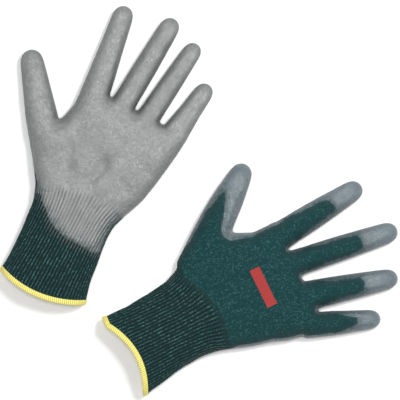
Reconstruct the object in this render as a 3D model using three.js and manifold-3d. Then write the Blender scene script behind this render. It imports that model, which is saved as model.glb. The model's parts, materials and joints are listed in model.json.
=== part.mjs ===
// A pair of cut resistant work gloves, laid out flat: a seamless knitted liner with a ribbed cuff, dipped
// in polyurethane on the palm side. The left glove lies palm up and the right glove lies palm down.
// Millimetres. +Z is up from the surface the gloves lie on; the origin is the bottom centre of the pair.
//
// Each glove is modelled in its own frame: +Y runs from the hem to the middle fingertip, the thumb is on
// -X, and the hem's middle is near the origin. A finger has a frame of its own, with its origin on its
// knuckle crease.
import * as THREE from "three";
import { mergeVertices } from "three/addons/utils/BufferGeometryUtils.js";
import Module from "manifold-3d";

const wasm = await Module();
wasm.setup();

// --- driving dimensions --------------------------------------------------------------------------

const KNIT = 1.5; // wall of the knitted liner
const GAP = 0.3; // clear space between neighbouring pieces
const COAT = 0.8; // skin of the dipped coating
const SKIN = GAP + COAT; // how far the coating's outer face stands off the liner
const HEM_HEIGHT = 4.4; // the overlocked edge, measured along the hand
const HEM_PROUD = 0.7; // how far it stands off the cuff on each side
const HEM_FADE = 34; // the hem's curve dies out over this length of cuff
const HEM_CLEAR = 1.2; // over 1, so that the cuff's underside clears the surface a little way past the hem
const WRIST = 58; // the crease where the cuff bends against the hand
const THICKNESS = { hem: 23, cuff: 20, wrist: 19, heel: 23, palm: 24, knuckles: 20 };
const FINGER_FLATNESS = 0.82; // a finger's thickness over its width
const SIDE_ROUND = 1.5; // a section's rounded side, over half its thickness
const ELASTIC = { radius: 0.6, turns: 3, pitch: 7, start: 9, steps: 16, sides: 4, clearance: 0.9 };
const PRINT = { x: 1, y: 130, length: 35, width: 9, thickness: 0.3, corner: 4 };
const COAT_EDGE = { palmUp: 10.08, palmDown: 12.08 }; // the palm coating's edge, above the hand's underside
const WINDOW_EDGE = 1.5; // how far above a finger's widest line its bare back begins

const SIDE_STEPS = 6; // facets round one side of a hand section
const FINGER_SIDES = 10;
const TIP_RINGS = [0, 0.5, 0.8, 0.95]; // where a fingertip's rings lie, as shares of its radius
const OVERRUN = 2; // cutters and cavities run past the faces they open
const REACH = 400; // further than any part of a glove
const WELD = 1e-3; // points this close are the same point

// hem gives the ends of the hem's line and how far its middle bows towards the fingers. cuff and palm give
// the distance from the hem and the left and right edges there. coatEnd is where the cuff's coating starts.
// Widths are read across a finger at its knuckle crease, its middle and its tip. mid is the distance from
// the knuckle crease to the middle joint, window the length of bare knit on the finger's back, and root how
// far the finger's solid runs back into the hand.
const LEFT = {
  side: "left",
  palmUp: true,
  place: { x: -126.6, y: -71.7, turn: -28 },
  hem: { left: [-41.5, -7], right: [33.5, 1], sag: -9.5 },
  cuff: [[22, -41.6, 28.8], [40, -43, 26.6], [WRIST, -45, 24.2]],
  coatEnd: 41,
  palm: [
    [WRIST, -45, 24.2, "wrist"],
    [70, -49.5, 25, "wrist"],
    [85, -60, 30, "heel"],
    [100, -67, 35.6, "palm"],
    [116, -66, 38.7, "palm"],
    [130, -55.5, 40.8, "palm"],
    [146, -52, 43, "palm"],
    [158, -53, 44, "knuckles"],
    [164, -54, 44.6, "knuckles"],
  ],
  fingers: {
    thumb: {
      base: [-72.3, 123],
      lean: -38,
      length: 57,
      widths: [27.6, 23.8, 20],
      mid: 23,
      window: 30,
      root: 50,
    },
    index: {
      base: [-42.9, 171],
      lean: -8.4,
      length: 68,
      widths: [24, 20.5, 18],
      mid: 26,
      window: 40,
      root: 24,
    },
    middle: {
      base: [-16, 171],
      lean: 3,
      length: 77,
      widths: [20.6, 19.8, 17.4],
      mid: 29,
      window: 47,
      root: 24,
    },
    ring: {
      base: [8, 171],
      lean: 5.7,
      length: 67.6,
      widths: [19.8, 18.4, 16],
      mid: 26,
      window: 39,
      root: 24,
    },
    little: {
      base: [34, 168],
      lean: 7.2,
      length: 45,
      widths: [22, 18.4, 16.6],
      mid: 18,
      window: 26,
      root: 24,
    },
  },
};

const RIGHT = {
  side: "right",
  palmUp: false,
  place: { x: -63.6, y: -128.8, turn: -64 },
  hem: { left: [-34.5, -6], right: [39, 1], sag: 9.7 },
  cuff: [[22, -34.4, 35], [40, -36.2, 31.6], [WRIST, -38.4, 30.6]],
  coatEnd: 41,
  palm: [
    [WRIST, -38.4, 30.6, "wrist"],
    [70, -43.5, 31.6, "wrist"],
    [85, -55.5, 36.3, "heel"],
    [100, -65, 41.3, "palm"],
    [116, -63, 45, "palm"],
    [128, -50, 49.8, "palm"],
    [142, -43.6, 52.5, "palm"],
    [155, -43.4, 58, "knuckles"],
    [162, -44, 61, "knuckles"],
  ],
  fingers: {
    thumb: {
      base: [-65.6, 119],
      lean: -36.9,
      length: 54,
      widths: [30, 26.4, 19.6],
      mid: 22,
      window: 28,
      root: 48,
    },
    index: {
      base: [-32.2, 171],
      lean: -5.9,
      length: 71,
      widths: [24.4, 22.4, 18],
      mid: 27,
      window: 41,
      root: 24,
    },
    middle: {
      base: [-4.2, 171],
      lean: 7.9,
      length: 82.4,
      widths: [22.4, 21.4, 18],
      mid: 31,
      window: 50,
      root: 24,
    },
    ring: {
      base: [26.2, 170],
      lean: 14.6,
      length: 67.6,
      widths: [24.4, 21.6, 17.4],
      mid: 26,
      window: 38,
      root: 24,
    },
    little: {
      base: [53.6, 168],
      lean: 20.3,
      length: 41.8,
      widths: [21.4, 18.8, 16.6],
      mid: 17,
      window: 22,
      root: 24,
    },
  },
};

const COLOURS = {
  knit: { color: 0x1f4f4b, roughness: 0.95, metalness: 0 },
  coat: { color: 0x9a9d9d, roughness: 0.6, metalness: 0 },
  hem: { color: 0xf4e96b, roughness: 0.9, metalness: 0 },
  elastic: { color: 0xe9e7df, roughness: 0.7, metalness: 0 },
  print: { color: 0xd23b3b, roughness: 0.7, metalness: 0 },
};

// --- solids --------------------------------------------------------------------------------------

// Six times the signed volume under a triangle, for finding which way a surface faces.
function signedVolume(vertices, triangles) {
  let total = 0;
  for (let i = 0; i < triangles.length; i += 3) {
    const [a, b, c] = [0, 1, 2].map((corner) => vertices[triangles[i + corner]]);
    total += a.dot(new THREE.Vector3().crossVectors(b, c));
  }
  return total;
}

function solidFrom(vertices, triangles) {
  const facing = triangles.slice();
  if (signedVolume(vertices, facing) < 0) facing.reverse();
  return new wasm.Manifold(
    new wasm.Mesh({
      numProp: 3,
      vertProperties: new Float32Array(vertices.flatMap((v) => [v.x, v.y, v.z])),
      triVerts: new Uint32Array(facing),
    }),
  );
}

// Quads between two rings of n vertices that start at the indices a and b.
function band(a, b, n) {
  const triangles = [];
  for (let i = 0; i < n; i++) {
    const j = (i + 1) % n;
    triangles.push(a + i, a + j, b + j, a + i, b + j, b + i);
  }
  return triangles;
}

function fan(apex, ring, n, flipped) {
  const triangles = [];
  for (let i = 0; i < n; i++) {
    const j = (i + 1) % n;
    triangles.push(...(flipped ? [apex, ring + j, ring + i] : [apex, ring + i, ring + j]));
  }
  return triangles;
}

function middleOf(ring) {
  return ring.reduce((sum, p) => sum.add(p), new THREE.Vector3()).divideScalar(ring.length);
}

// A solid through rings of equally many points. Each end closes on an apex, or on the ring's own middle.
function loft(rings, tip) {
  const n = rings[0].length;
  const vertices = rings.flat();
  const triangles = rings.slice(1).flatMap((_, k) => band(k * n, (k + 1) * n, n));
  const start = vertices.push(middleOf(rings[0])) - 1;
  const end = vertices.push(tip ?? middleOf(rings.at(-1))) - 1;
  triangles.push(...fan(start, 0, n, true), ...fan(end, (rings.length - 1) * n, n, false));
  return solidFrom(vertices, triangles);
}

// A wall between outer and inner rings, open at its start. With tips it closes at its end, else it is open
// there too.
function wall(outer, inner, tips) {
  const n = outer[0].length;
  const vertices = [...outer.flat(), ...inner.flat()];
  const inside = outer.length * n;
  const triangles = [];
  for (let k = 1; k < outer.length; k++) triangles.push(...band((k - 1) * n, k * n, n));
  for (let k = 1; k < inner.length; k++) triangles.push(...band(inside + k * n, inside + (k - 1) * n, n));
  triangles.push(...band(inside, 0, n));
  const [lastOuter, lastInner] = [(outer.length - 1) * n, inside + (inner.length - 1) * n];
  if (tips) {
    const apex = vertices.push(...tips) - 2;
    triangles.push(...fan(apex, lastOuter, n, false), ...fan(apex + 1, lastInner, n, true));
  } else {
    triangles.push(...band(lastOuter, lastInner, n));
  }
  return solidFrom(vertices, triangles);
}

// A three.js solid geometry as a manifold-3d solid.
function solidOf(geometry) {
  const plain = new THREE.BufferGeometry().setAttribute("position", geometry.getAttribute("position"));
  if (geometry.index) plain.setIndex(geometry.index);
  const merged = mergeVertices(plain, WELD);
  const points = merged.getAttribute("position");
  const point = (_, i) => new THREE.Vector3().fromBufferAttribute(points, i);
  const vertices = Array.from({ length: points.count }, point);
  return solidFrom(vertices, Array.from(merged.index.array));
}

function block(x0, x1, y0, y1, z0, z1) {
  const box = new THREE.BoxGeometry(x1 - x0, y1 - y0, z1 - z0);
  return solidOf(box.translate((x0 + x1) / 2, (y0 + y1) / 2, (z0 + z1) / 2));
}

function meshOf(name, solid, look) {
  const { vertProperties, triVerts } = solid.getMesh();
  const geometry = new THREE.BufferGeometry()
    .setAttribute("position", new THREE.BufferAttribute(vertProperties, 3))
    .setIndex(new THREE.BufferAttribute(triVerts, 1));
  const mesh = new THREE.Mesh(geometry, new THREE.MeshStandardMaterial(COLOURS[look]));
  mesh.name = name;
  return mesh;
}

const mix = (a, b, t) => a + (b - a) * t;

// --- cuff and hand -------------------------------------------------------------------------------

// One section across the cuff or hand: flat above and below, with rounded sides. grow moves it outwards.
function section(x0, x1, thickness, floor, y, grow) {
  const half = thickness / 2;
  const round = half * SIDE_ROUND;
  const ring = [];
  for (const side of [1, -1]) {
    const centre = side > 0 ? x1 - round : x0 + round;
    for (let i = 0; i <= SIDE_STEPS; i++) {
      const turn = side * (-Math.PI / 2 + (Math.PI * i) / SIDE_STEPS);
      const x = centre + side * (round + grow) * Math.abs(Math.cos(turn));
      ring.push(new THREE.Vector3(x, y(x), floor + half + (half + grow) * Math.sin(turn)));
    }
  }
  return ring;
}

// The hem's line, as the height along the hand over a place across it.
function hemLine({ left, right, sag }) {
  return (x) => {
    const t = (x - left[0]) / (right[0] - left[0]);
    return mix(left[1], right[1], t) + 4 * sag * t * (1 - t);
  };
}

// Sections of the cuff from a start height above the hem line up to an end height.
function cuffSections(glove, from, to, grow) {
  const hem = hemLine(glove.hem);
  const stations = [[0, glove.hem.left[0], glove.hem.right[0]], ...glove.cuff];
  const edgesAt = (height) => {
    const k = Math.max(1, stations.findIndex((s) => s[0] >= height));
    const [a, b] = [stations[k - 1], stations[k]];
    const t = (height - a[0]) / (b[0] - a[0]);
    return [mix(a[1], b[1], t), mix(a[2], b[2], t)];
  };
  const [[low], [high]] = glove.cuff;
  const thicknessAt = (height) => {
    if (height < low) return mix(THICKNESS.hem, THICKNESS.cuff, height / low);
    return mix(THICKNESS.cuff, THICKNESS.wrist, (height - low) / (WRIST - low));
  };
  const heights = [from, ...[low, HEM_FADE, high].filter((h) => h > from + 1 && h < to - 1), to];
  return heights.map((height) => {
    const [x0, x1] = edgesAt(height);
    const share = Math.max(0, 1 - height / HEM_FADE);
    const floor = glove.floor + HEM_PROUD * Math.min(1, share * HEM_CLEAR);
    return section(x0, x1, thicknessAt(height), floor, (x) => height + hem(x) * share, grow);
  });
}

function cuffWall(glove, from, to, out, inwards) {
  return wall(cuffSections(glove, from, to, out), cuffSections(glove, from, to, inwards));
}

// The palm's half of the space round a glove, as a block to keep.
function palmSide(glove) {
  const [low, high] = glove.palmUp
    ? [glove.floor + COAT_EDGE.palmUp, REACH]
    : [-REACH, glove.floor + COAT_EDGE.palmDown];
  return block(-REACH, REACH, -REACH, REACH, low, high);
}

// The hand from the wrist crease to the knuckle creases, as one solid grown by the given amount. overrun
// carries its wrist and finger ends past their faces, for cutting.
function handSolid(glove, grow, overrun) {
  const palm = glove.palm.map(([y, x0, x1, name], k) => {
    const height = k === 0 ? y + GAP / 2 - overrun : k === glove.palm.length - 1 ? y + grow : y;
    return section(x0, x1, THICKNESS[name], glove.floor, () => height, grow);
  });
  let hand = loft(palm);
  for (const finger of Object.values(glove.fingers)) {
    const distances = [-finger.root - grow, -finger.root / 2, overrun - GAP / 2];
    const turned = loft(fingerRings(finger, distances, grow)).rotate([0, 0, -finger.lean]);
    hand = hand.add(turned.translate([finger.base[0], finger.base[1], 0]));
  }
  return hand;
}

// --- fingers -------------------------------------------------------------------------------------

function fingerWidth(finger, along) {
  const [base, middle, tip] = finger.widths;
  const end = finger.length - tip / 2;
  if (along <= 0) return base;
  const t = along / (end / 2);
  return t < 1 ? mix(base, middle, t) : mix(middle, tip, t - 1);
}

// Half width of the finger at a distance along it, its round end included.
function fingerHalf(finger, along) {
  const radius = finger.widths[2] / 2;
  const past = along - (finger.length - radius);
  if (past <= 0) return fingerWidth(finger, along) / 2;
  return radius * Math.sqrt(Math.max(0, 1 - (past / radius) ** 2));
}

// Rings of a finger in its own frame, at distances along it. Its tip is coated all round, so it lies on
// that coat.
function fingerRings(finger, distances, grow) {
  return distances.map((along) => {
    const half = fingerHalf(finger, along);
    const thick = half * FINGER_FLATNESS;
    const straight = Math.min(along, finger.length - finger.widths[2] / 2);
    const level = SKIN + fingerHalf(finger, straight) * FINGER_FLATNESS;
    return Array.from({ length: FINGER_SIDES }, (_, i) => {
      const turn = ((i + 0.5) / FINGER_SIDES) * 2 * Math.PI;
      const [x, z] = [(half + grow) * Math.cos(turn), (thick + grow) * Math.sin(turn)];
      return new THREE.Vector3(x, along, level + z);
    });
  });
}

function fingerTip(finger, grow) {
  const level = SKIN + (finger.widths[2] / 2) * FINGER_FLATNESS;
  return new THREE.Vector3(0, finger.length + grow, level);
}

// Where the far segment's rings lie: its straight part, then its round end.
function farDistances(finger, start) {
  const radius = finger.widths[2] / 2;
  const round = finger.length - radius;
  const bends = TIP_RINGS.map((share) => round + radius * share);
  return [start, mix(start, round, 0.5), ...bends];
}

function nearWall(finger, out, inwards) {
  const distances = [GAP / 2, finger.mid / 2, finger.mid - GAP / 2];
  return wall(fingerRings(finger, distances, out), fingerRings(finger, distances, inwards));
}

function farWall(finger, out, inwards) {
  const distances = farDistances(finger, finger.mid + GAP / 2);
  const tips = [fingerTip(finger, out), fingerTip(finger, inwards)];
  return wall(fingerRings(finger, distances, out), fingerRings(finger, distances, inwards), tips);
}

// The back of a finger up to the end of its bare window, as a block to cut away.
function fingerBack(glove, finger, from) {
  const level = SKIN + (finger.widths[1] / 2) * FINGER_FLATNESS;
  const [low, high] = glove.palmUp ? [-REACH, level - WINDOW_EDGE] : [level + WINDOW_EDGE, REACH];
  return block(-REACH, REACH, from - OVERRUN, finger.window, low, high);
}

// The height of the crease a finger folds about: the top face of the glove as it lies.
function creaseHeight(glove, finger, along) {
  const top = 2 * fingerHalf(finger, along) * FINGER_FLATNESS;
  return SKIN + top + (glove.palmUp ? SKIN : 0);
}

// --- the pieces ----------------------------------------------------------------------------------

// A finger's two segments. Each hangs in a group whose origin is on the crease that it folds about.
function makeFinger(glove, name, finger) {
  const label = `${glove.side}_${name}`;
  const knuckle = new THREE.Group();
  knuckle.name = `${label}_knuckle_joint`;
  const knuckleHeight = creaseHeight(glove, finger, 0);
  knuckle.position.set(finger.base[0], finger.base[1], knuckleHeight);
  knuckle.rotation.z = THREE.MathUtils.degToRad(-finger.lean);

  const nearCoat = nearWall(finger, SKIN, GAP).subtract(fingerBack(glove, finger, 0));
  const near = [
    meshOf(`${label}_near_knit`, nearWall(finger, 0, -KNIT), "knit"),
    meshOf(`${label}_near_coat`, nearCoat, "coat"),
  ];
  near.forEach((mesh) => mesh.position.set(0, 0, -knuckleHeight));

  const middleHeight = creaseHeight(glove, finger, finger.mid);
  const middle = new THREE.Group();
  middle.name = `${label}_middle_joint`;
  middle.position.set(0, finger.mid, middleHeight - knuckleHeight);
  const farCoat = farWall(finger, SKIN, GAP).subtract(fingerBack(glove, finger, finger.mid));
  const far = [
    meshOf(`${label}_far_knit`, farWall(finger, 0, -KNIT), "knit"),
    meshOf(`${label}_far_coat`, farCoat, "coat"),
  ];
  far.forEach((mesh) => mesh.position.set(0, -finger.mid, -middleHeight));

  middle.add(...far);
  knuckle.add(...near, middle);
  return knuckle;
}

// The point at a share of the way round a closed ring.
function pointOnRing(ring, share) {
  const next = (i) => ring[(i + 1) % ring.length];
  const lengths = ring.map((point, i) => point.distanceTo(next(i)));
  let left = share * lengths.reduce((sum, length) => sum + length);
  let i = 0;
  while (left > lengths[i]) left -= lengths[i++];
  return ring[i].clone().lerp(next(i), left / lengths[i]);
}

// The elastic yarn laid in the cuff: one continuous thread that winds just inside the cuff's wall.
function makeElastic(glove) {
  const { radius, turns, pitch, start, steps, sides, clearance } = ELASTIC;
  const path = Array.from({ length: turns * steps + 1 }, (_, i) => {
    const height = start + (i / steps) * pitch;
    const ring = cuffSections(glove, height, height + pitch, -KNIT - clearance - radius)[0];
    return pointOnRing(ring, (i % steps) / steps);
  });
  const circle = new THREE.EllipseCurve(0, 0, radius, radius).getPoints(sides).slice(0, -1);
  const extrudePath = new THREE.CatmullRomCurve3(path);
  const options = { steps: turns * steps, extrudePath, bevelEnabled: false };
  return solidOf(new THREE.ExtrudeGeometry(new THREE.Shape(circle), options));
}

// A thin printed bar on the back of the hand, lying across it.
function makePrint(glove) {
  const shape = new THREE.Shape();
  const [w, h, r] = [PRINT.length / 2, PRINT.width / 2, PRINT.corner];
  shape.moveTo(-w + r, -h);
  shape.lineTo(w - r, -h);
  shape.absarc(w - r, -h + r, r, -Math.PI / 2, 0);
  shape.absarc(w - r, h - r, r, 0, Math.PI / 2);
  shape.lineTo(-w + r, h);
  shape.absarc(-w + r, h - r, r, Math.PI / 2, Math.PI);
  shape.absarc(-w + r, -h + r, r, Math.PI, 1.5 * Math.PI);
  const options = { depth: PRINT.thickness, bevelEnabled: false, curveSegments: 3 };
  const bar = new THREE.ExtrudeGeometry(shape, options);
  return solidOf(bar.translate(PRINT.x, PRINT.y, glove.floor + THICKNESS.palm + GAP));
}

// One glove. Its hand lies on the bare knit of its back, or on the coating of its palm.
function makeGlove(look) {
  const glove = { ...look, floor: look.palmUp ? 0 : SKIN };
  const { side } = glove;
  const group = new THREE.Group();
  group.name = `${side}_glove`;
  group.position.set(glove.place.x, glove.place.y, 0);
  group.rotation.z = THREE.MathUtils.degToRad(glove.place.turn);

  // The cuff's pieces hang in a group whose origin is on the wrist crease, on the glove's top face.
  const wristHeight = glove.floor + THICKNESS.wrist + (glove.palmUp ? SKIN : 0);
  const wrist = new THREE.Group();
  wrist.name = `${side}_wrist_joint`;
  const middle = (glove.cuff.at(-1)[1] + glove.cuff.at(-1)[2]) / 2;
  wrist.position.set(middle, WRIST, wristHeight);
  const cuffTop = WRIST - GAP / 2;
  const cuffStart = HEM_HEIGHT + GAP;
  const palmBlock = palmSide(glove);
  const cuffCoat = cuffWall(glove, glove.coatEnd, cuffTop, SKIN, GAP).intersect(palmBlock);
  const hem = cuffWall(glove, 0, HEM_HEIGHT, HEM_PROUD, -KNIT - HEM_PROUD);
  const cuff = [
    meshOf(`${side}_cuff_rib`, cuffWall(glove, cuffStart, cuffTop, 0, -KNIT), "knit"),
    meshOf(`${side}_cuff_coat`, cuffCoat, "coat"),
    meshOf(`${side}_hem_binding`, hem, "hem"),
    meshOf(`${side}_cuff_elastic`, makeElastic(glove), "elastic"),
  ];
  cuff.forEach((mesh) => mesh.position.set(-middle, -WRIST, -wristHeight));
  wrist.add(...cuff);

  const knit = handSolid(glove, 0, 0).subtract(handSolid(glove, -KNIT, OVERRUN));
  const skin = handSolid(glove, SKIN, 0).subtract(handSolid(glove, GAP, OVERRUN));
  const coat = skin.intersect(palmBlock);
  group.add(wrist, meshOf(`${side}_hand_knit`, knit, "knit"), meshOf(`${side}_palm_coat`, coat, "coat"));
  for (const [name, finger] of Object.entries(glove.fingers)) {
    group.add(makeFinger(glove, name, finger));
  }
  if (!glove.palmUp) group.add(meshOf(`${side}_back_print`, makePrint(glove), "print"));
  return group;
}

// --- the pair ------------------------------------------------------------------------------------

const pair = new THREE.Group();
pair.name = "glove_pair";
pair.add(makeGlove(LEFT), makeGlove(RIGHT));

// The origin is moved to the bottom centre of the pair.
const bounds = new THREE.Box3().setFromObject(pair, true);
const centre = bounds.getCenter(new THREE.Vector3());
pair.position.set(-centre.x, -centre.y, -bounds.min.z);

export default pair;
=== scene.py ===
"""A pair of cut resistant gloves, laid flat around their CAD model: the left palm up, the right palm down.

Each glove's liner is seen from above in the CAD model, and that outline is blown up into a soft glove.
The hand is polygonised from the blown-up shape. The digits and the cuff are grids of rings cast onto it.
The dipped coating is a skin that rises out of the liner where it begins. Lengths inside the glove code
are millimetres from the middle of the wrist crease, with +Y towards the fingertips and the thumb on -X.
"""

import json
import math

import bpy
import numpy as np
import openvdb
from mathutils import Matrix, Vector


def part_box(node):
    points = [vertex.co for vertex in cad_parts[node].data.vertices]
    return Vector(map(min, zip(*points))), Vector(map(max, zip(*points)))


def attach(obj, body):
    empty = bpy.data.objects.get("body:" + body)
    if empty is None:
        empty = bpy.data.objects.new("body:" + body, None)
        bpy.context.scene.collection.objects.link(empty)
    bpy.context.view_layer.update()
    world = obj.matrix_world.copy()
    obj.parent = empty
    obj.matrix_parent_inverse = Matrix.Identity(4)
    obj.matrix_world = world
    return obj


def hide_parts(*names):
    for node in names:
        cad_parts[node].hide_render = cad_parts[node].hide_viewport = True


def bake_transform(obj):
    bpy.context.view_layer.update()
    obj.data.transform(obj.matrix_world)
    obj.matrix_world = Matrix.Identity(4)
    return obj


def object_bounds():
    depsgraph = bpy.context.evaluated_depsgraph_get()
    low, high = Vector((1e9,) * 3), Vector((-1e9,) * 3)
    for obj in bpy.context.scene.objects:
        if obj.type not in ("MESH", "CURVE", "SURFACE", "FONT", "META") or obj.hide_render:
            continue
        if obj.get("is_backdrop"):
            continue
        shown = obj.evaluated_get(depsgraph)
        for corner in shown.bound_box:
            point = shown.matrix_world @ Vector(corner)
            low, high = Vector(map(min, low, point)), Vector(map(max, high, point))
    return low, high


bl_info = {
    "name": "Cut Resistant Gloves",
    "version": (1, 0, 0),
    "blender": (4, 5, 0),
    "location": "View3D > Sidebar > Gloves",
    "description": "Builds a pair of knitted, palm-dipped work gloves around their CAD model",
    "category": "Add Mesh",
}

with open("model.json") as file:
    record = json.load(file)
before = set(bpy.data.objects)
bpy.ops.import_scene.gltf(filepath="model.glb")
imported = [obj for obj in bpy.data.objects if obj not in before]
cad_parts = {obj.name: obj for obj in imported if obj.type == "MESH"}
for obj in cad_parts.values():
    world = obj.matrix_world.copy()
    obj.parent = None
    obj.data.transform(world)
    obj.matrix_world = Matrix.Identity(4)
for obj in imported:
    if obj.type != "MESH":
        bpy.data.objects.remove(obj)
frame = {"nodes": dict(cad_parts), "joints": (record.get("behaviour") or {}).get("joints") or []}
CAD_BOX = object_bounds()
JOINTS = {joint["name"]: joint for joint in frame["joints"]}
# Every digit, from the thumb across the hand.
DIGITS = ("thumb", "index", "middle", "ring", "little")
SIDES = ("left", "right")
MM = 0.001
UP = np.array([0.0, 0.0, 1.0])


# --- sizes and colours a user would change --------------------------------------------------------


def size(name, text, default, **more):
    return bpy.props.FloatProperty(name=name, description=text, default=default, min=0.0, **more)


def colour(name, text, default):
    return bpy.props.FloatVectorProperty(
        name=name, description=text, default=default, size=3, min=0.0, max=1.0, subtype="COLOR"
    )


class GloveSizes(bpy.types.PropertyGroup):
    """Sizes of the gloves' fabric and skin, in millimetres."""

    grid: size("Outline grid", "Spacing of the grid that holds a glove's outline", 0.75)
    voxel: size("Hand facets", "Size of the facets of the hand", 1.0)
    fullness: size("Fullness", "How far from its edge the glove reaches its full thickness", 8.0)
    plumpness: size("Plumpness", "Half thickness over the half width of a round finger", 1.07)
    wall: size("Liner wall", "Thickness of the knitted liner", 1.2)
    coat: size("Coating", "How far the coating stands off the liner", 0.42)
    rib_pitch: size("Rib pitch", "Distance between the ribs of the cuff", 2.75)
    rib_depth: size("Rib depth", "Height of a rib over the valley beside it", 0.75)
    lumps: size("Lumps", "Height of the soft lumps in the fabric", 0.28)
    hem_height: size("Hem height", "Width of the overlocked hem", 4.6)


class GloveColours(bpy.types.PropertyGroup):
    """Colours of the gloves' yarns, coating and ink."""

    yarn: colour("Yarn", "Main yarn of the hand", (0.004, 0.050, 0.052))
    fleck: colour("Fleck", "Pale fibres in the yarn", (0.13, 0.31, 0.32))
    rib: colour("Rib yarn", "Yarn of the cuff", (0.008, 0.030, 0.029))
    coating: colour("Coating", "Coating on the palm", (0.252, 0.26, 0.26))
    tip_coating: colour("Tip coating", "Coating on the backs of the fingertips", (0.10, 0.152, 0.180))
    soaked: colour("Soaked yarn", "Yarn where the coating thins out", (0.010, 0.042, 0.045))
    hem: colour("Hem", "Thread of the hem", (0.95, 0.87, 0.27))
    ink: colour("Ink", "Ink of the printed bar", (0.45, 0.028, 0.026))


class GloveStage(bpy.types.PropertyGroup):
    """The lights and the view."""

    key_power: size("Key light", "Power of the light from the upper right, in watts", 13.0)
    top_power: size("Top light", "Power of the light over the middle, in watts", 13.0)
    room_light: size("Room light", "Strength of the light from all round", 0.36)
    view_width: size("View width", "Width of what the camera sees", 0.336, unit="LENGTH")


# --- numbers --------------------------------------------------------------------------------------


def ease(value, low, high):
    """0 below low, 1 above high, and a smooth step between them."""
    t = np.clip((value - low) / (high - low), 0.0, 1.0)
    return t * t * (3 - 2 * t)


def mix(a, b, share):
    """The value a share of the way from a to b."""
    return a + (b - a) * share


def hump(distance, width):
    """1 at no distance, falling away to 0 over about twice the width."""
    return np.exp(-((distance / width) ** 2))


def blur(grid, sigma):
    """Gaussian blur over both axes, with sigma in cells."""
    reach = int(math.ceil(3 * sigma))
    weights = np.exp(-0.5 * (np.arange(-reach, reach + 1) / sigma) ** 2)
    weights /= weights.sum()
    for axis in (0, 1):
        padded = np.pad(grid, [(reach, reach) if a == axis else (0, 0) for a in (0, 1)], mode="edge")
        length = grid.shape[axis]
        grid = sum(w * padded.take(range(i, i + length), axis) for i, w in enumerate(weights))
    return grid


def waves(points, wavelength, seed, count=20):
    """Smooth noise about 0, with a height of about 1: the sum of plane waves in seeded directions."""
    rng = np.random.default_rng(seed)
    directions = rng.normal(size=(count, 3))
    directions /= np.linalg.norm(directions, axis=1)[:, None]
    pitch = 2 * np.pi / (wavelength * rng.uniform(0.7, 1.4, count))
    phase = rng.uniform(0, 2 * np.pi, count)
    return np.cos((points @ directions.T) * pitch + phase).sum(axis=1) * math.sqrt(2 / count)


def distance_inside(mask, spacing):
    """Distance from each cell of a mask to the nearest cell outside it."""
    far = 1e4
    gap = np.where(mask, far, 0.0)
    for line in (gap, gap[:, ::-1]):
        for i in range(1, line.shape[1]):
            line[:, i] = np.minimum(line[:, i], line[:, i - 1] + 1)
    rows = np.arange(mask.shape[0])
    squared = gap**2
    nearest = [(squared + ((rows - row) ** 2)[:, None]).min(axis=0) for row in rows]
    return np.sqrt(np.array(nearest)) * spacing


# --- meshes ---------------------------------------------------------------------------------------


def vertex_normals(points, faces):
    """Area-weighted vertex normals of quads. A quad whose last two corners are the same is a triangle."""
    a, b, c, d = (points[faces[:, i]] for i in range(4))
    face = np.cross(c - a, d - b)
    total = np.zeros_like(points)
    for axis in range(3):
        weights = np.repeat(face[:, axis], 4)
        total[:, axis] = np.bincount(faces.ravel(), weights, len(points))
    return total / np.maximum(np.linalg.norm(total, axis=1), 1e-12)[:, None]


FAR = 100.0


class Surface:
    """A surface of quads, with what its materials and its coating need to know at each vertex.

    relief is a pattern's height over the surface, and seam is the distance past the seam with a neighbour.
    """

    def __init__(self, points, faces, corner_uv, normals=None):
        self.points = points
        self.faces = faces
        self.corner_uv = corner_uv
        self.normals = vertex_normals(points, faces) if normals is None else normals
        self.relief = np.zeros(len(points))
        self.seam = np.full(len(points), -FAR)
        self.marks = {}
        a, b, c, d = (points[faces[:, i]] for i in range(4))
        if (np.cross(c - a, d - b) * self.normals[faces].mean(axis=1)).sum() < 0:
            self.faces = faces[:, ::-1].copy()
            self.corner_uv = corner_uv[:, ::-1].copy()
            same = self.faces[:, 0] == self.faces[:, 1]
            self.faces[same] = np.roll(self.faces[same], -1, axis=1)
            self.corner_uv[same] = np.roll(self.corner_uv[same], -1, axis=1)


def woven(points, normals, across, along, wrap=True):
    """A surface from a grid of points. Its UVs across have one more column if the grid wraps round."""
    rows, columns = points.shape[:2]
    i = np.arange(rows - 1)[:, None]
    j = np.arange(columns if wrap else columns - 1)[None]
    k = (j + 1) % columns
    faces = np.stack([i * columns + j, i * columns + k, (i + 1) * columns + k, (i + 1) * columns + j], axis=2)
    turn = np.where(j >= columns // 2, across[:, -1:], 0) if wrap else np.zeros((rows, 1))
    here = across[:, : j.shape[1]] - turn
    there = across[:, 1:] - turn
    if along.shape[1] == columns and wrap:
        along = np.concatenate([along, along[:, :1]], axis=1)
    uv = np.stack(
        [
            np.stack([here[:-1], along[:-1, :-1]], axis=-1),
            np.stack([there[:-1], along[:-1, 1:]], axis=-1),
            np.stack([there[1:], along[1:, 1:]], axis=-1),
            np.stack([here[1:], along[1:, :-1]], axis=-1),
        ],
        axis=2,
    )
    flat = normals.reshape(-1, 3)
    return Surface(points.reshape(-1, 3), faces.reshape(-1, 4), uv.reshape(-1, 4, 2), flat)


def arc_lengths(rings):
    """The distance round each closed ring from its first point, back to its first point."""
    closed = np.concatenate([rings, rings[:, :1]], axis=1)
    steps = np.linalg.norm(np.diff(closed, axis=1), axis=2)
    return np.concatenate([np.zeros((len(rings), 1)), np.cumsum(steps, axis=1)], axis=1)


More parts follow.
